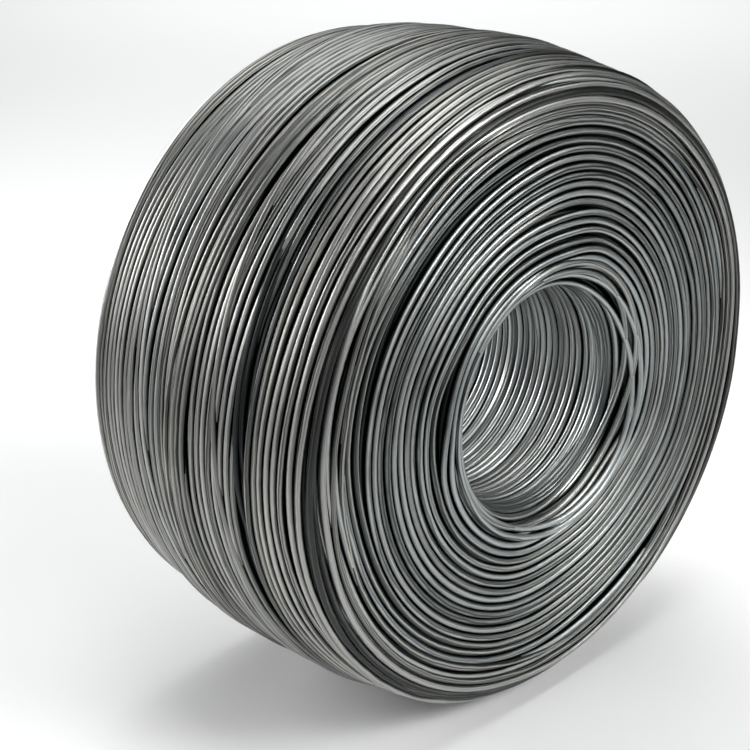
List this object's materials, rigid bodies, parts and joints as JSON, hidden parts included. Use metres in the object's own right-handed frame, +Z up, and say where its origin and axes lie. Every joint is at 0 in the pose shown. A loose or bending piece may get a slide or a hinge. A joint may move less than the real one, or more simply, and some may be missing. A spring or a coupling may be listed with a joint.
{
  "type": "coil of wire rod",
  "caption": "Compact coil of round steel wire, wound in nested layers without a spool, with rounded shoulders and a round bore through it, lying on its side.",
  "frame": {"origin": "on the floor, under the middle of the coil", "axes": "+Y along the coil's axis and its bore, +Z up, +X across the round side that the coil lies on"},
  "size_m": [0.24, 0.116, 0.24],
  "materials": {
    "wire": "drawn steel wire, dull grey with bright streaks, dark between the turns"
  },
  "bodies": {
    "root": {"wire_coil": "wire"}
  },
  "joints": []
}
